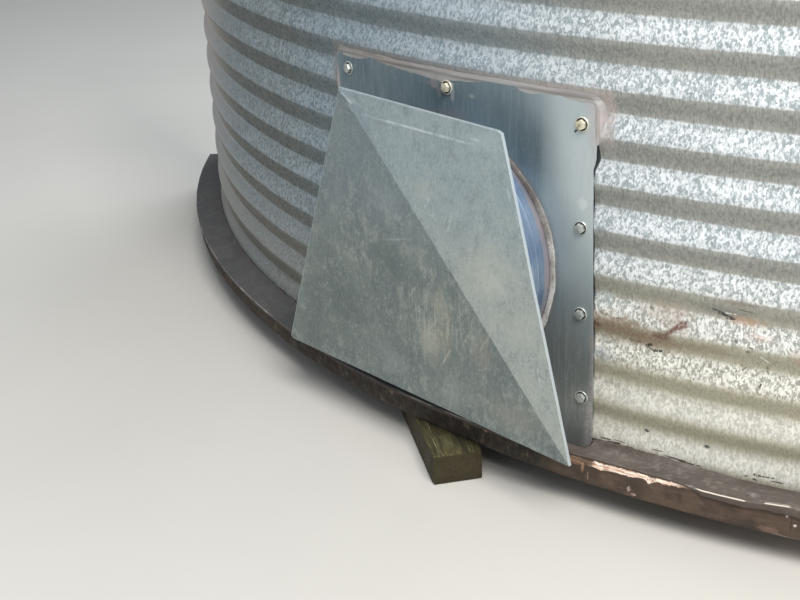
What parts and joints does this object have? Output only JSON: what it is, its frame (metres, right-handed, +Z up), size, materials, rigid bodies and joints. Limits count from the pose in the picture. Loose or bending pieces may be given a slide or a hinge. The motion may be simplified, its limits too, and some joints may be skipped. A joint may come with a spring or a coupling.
{
  "type": "grain silo wall bay with hooded air vent",
  "caption": "Foot bay of a round corrugated steel grain silo: curved wall sheet on a felt-capped timber deck rim and bearers, with a folded hood over its round air vent.",
  "frame": {"origin": "ground level, under the middle of the bay's bounding box", "axes": "+X along the bay to the right seen from outside, -Y out of the vent, +Z up"},
  "size_m": [3.2654, 1.2178, 1.2971],
  "materials": {
    "galvanised_wall": "weathered galvanised sheet, spangle, dirt streaks",
    "plate_steel": "slate-blue weathered zinc, vertical run marks",
    "collar_steel": "dull zinc",
    "hood_steel": "matt grey-green weathered zinc, blotches and run marks",
    "frame_steel": "dull zinc",
    "sealant": "aged tan sealant",
    "bitumen_felt": "matt felt and brushed bitumen",
    "deck_timber": "dark stained timber, chipped arris",
    "bearer_timber": "weathered grey-brown timber"
  },
  "bodies": {
    "root": {"wall_1": "galvanised_wall", "wall_2": "galvanised_wall", "wall_3": "galvanised_wall", "wall_4": "galvanised_wall", "wall_5": "galvanised_wall", "wall_6": "galvanised_wall", "deck_1": "deck_timber", "deck_2": "deck_timber", "deck_3": "deck_timber", "deck_4": "deck_timber", "deck_5": "deck_timber", "deck_6": "deck_timber", "flashing_1": "bitumen_felt", "flashing_2": "bitumen_felt", "flashing_3": "bitumen_felt", "foot_angle_1": "frame_steel", "foot_angle_2": "frame_steel", "foot_angle_3": "frame_steel", "bearer_1": "bearer_timber", "bearer_2": "bearer_timber", "bearer_3": "bearer_timber", "bearer_4": "bearer_timber", "bearer_5": "bearer_timber", "vent_plate": "plate_steel", "duct_collar": "collar_steel", "duct_bead": "sealant", "plate_seal_top": "sealant", "plate_seal_left": "sealant", "plate_seal_right": "sealant", "hood": "hood_steel", "hood_strap_1": "frame_steel", "hood_strap_2": "frame_steel", "hood_strap_3": "frame_steel", "hood_strap_4": "frame_steel"}
  },
  "joints": []
}
